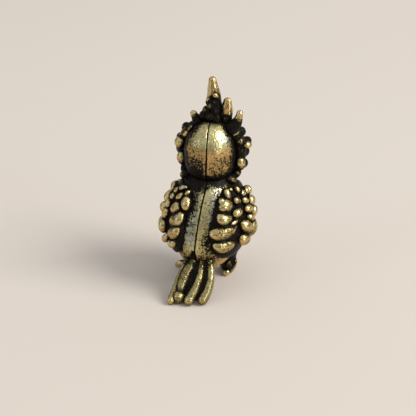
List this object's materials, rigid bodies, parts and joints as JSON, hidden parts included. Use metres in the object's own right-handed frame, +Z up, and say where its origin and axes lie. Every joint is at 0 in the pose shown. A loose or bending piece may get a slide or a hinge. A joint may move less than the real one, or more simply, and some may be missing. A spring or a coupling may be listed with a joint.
{
  "type": "brass owl figurine",
  "caption": "Small standing owl of antique brass with a tall lopsided crest, knobbly ruff, feathered wings and a ribbed tail that props it up.",
  "frame": {"origin": "on the table, under the middle of the owl's outer box", "axes": "+Z up, -Y the way the owl faces, +X its own left side"},
  "size_m": [0.0167, 0.0206, 0.0349],
  "materials": {
    "brass_smooth": "antique brass, rubbed bright on the crown and back, pitted, with near-black patina in the pits and along the joints",
    "brass_raised": "antique brass, polished golden on the raised feathers, knobs and ribs, near-black patina in the grooves between them",
    "brass_tuft": "antique brass with golden tips and near-black patina round the foot of each tuft"
  },
  "bodies": {
    "root": {"left_body_shell": "brass_smooth", "right_body_shell": "brass_smooth", "left_head_shell": "brass_smooth", "right_head_shell": "brass_smooth", "neck_dowel": "brass_smooth", "left_wing": "brass_raised", "right_wing": "brass_raised", "breast_plate": "brass_raised", "tail": "brass_raised", "left_foot": "brass_raised", "right_foot": "brass_raised", "face_mask": "brass_raised", "left_eye": "brass_raised", "right_eye": "brass_raised", "beak": "brass_raised", "tall_tuft": "brass_tuft", "short_tuft": "brass_tuft"}
  },
  "joints": []
}
